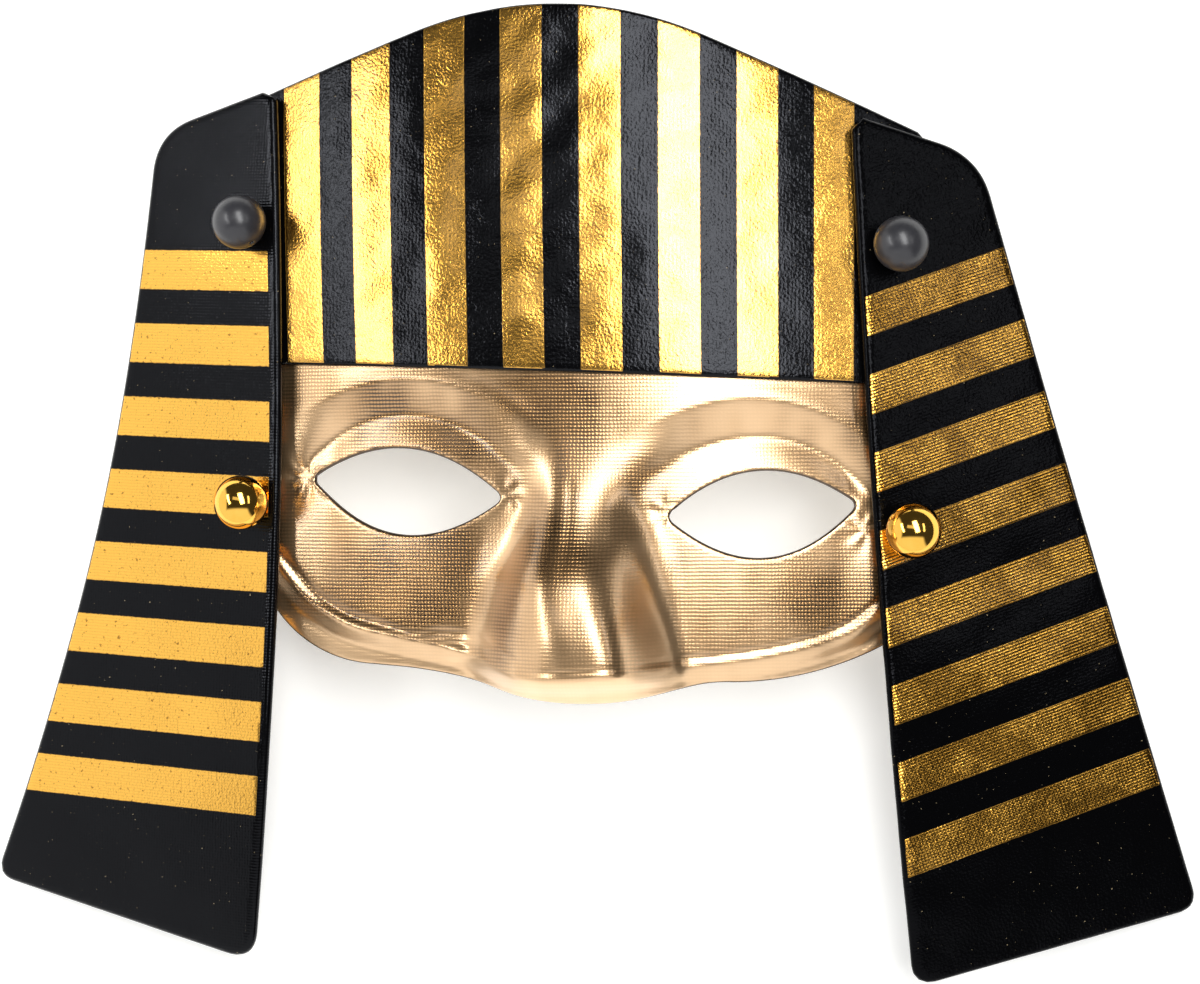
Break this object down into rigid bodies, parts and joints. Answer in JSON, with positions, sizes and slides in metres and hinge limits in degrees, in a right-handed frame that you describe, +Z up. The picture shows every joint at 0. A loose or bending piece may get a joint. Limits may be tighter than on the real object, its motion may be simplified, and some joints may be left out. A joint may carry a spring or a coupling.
{
  "type": "egyptian mummy mask",
  "caption": "Fancy-dress half mask in ancient Egyptian style, with an arched striped forehead panel, striped side lappets and round beads.",
  "frame": {"origin": "centre of the outline seen from above, on the surface that the mask lies on", "axes": "+X across the mask towards the viewer's right lappet, +Y from the nose towards the top of the headdress, +Z up out of the face"},
  "size_m": [0.3282, 0.2551, 0.0665],
  "materials": {
    "gold_lame": "pale gold lame knit with fine ribs, glued over a moulded plastic shell",
    "striped_cloth": "ribbed black cloth with stripes of gold metallic cloth",
    "grey_pearl": "dark grey pearl, satin",
    "gold_plate": "mirror-bright gold plating over plastic"
  },
  "bodies": {
    "root": {"face_mask": "gold_lame", "forehead_panel": "striped_cloth", "left_lappet": "striped_cloth", "right_lappet": "striped_cloth", "left_upper_bead": "grey_pearl", "right_upper_bead": "grey_pearl", "left_lower_bead": "gold_plate", "right_lower_bead": "gold_plate"}
  },
  "joints": []
}
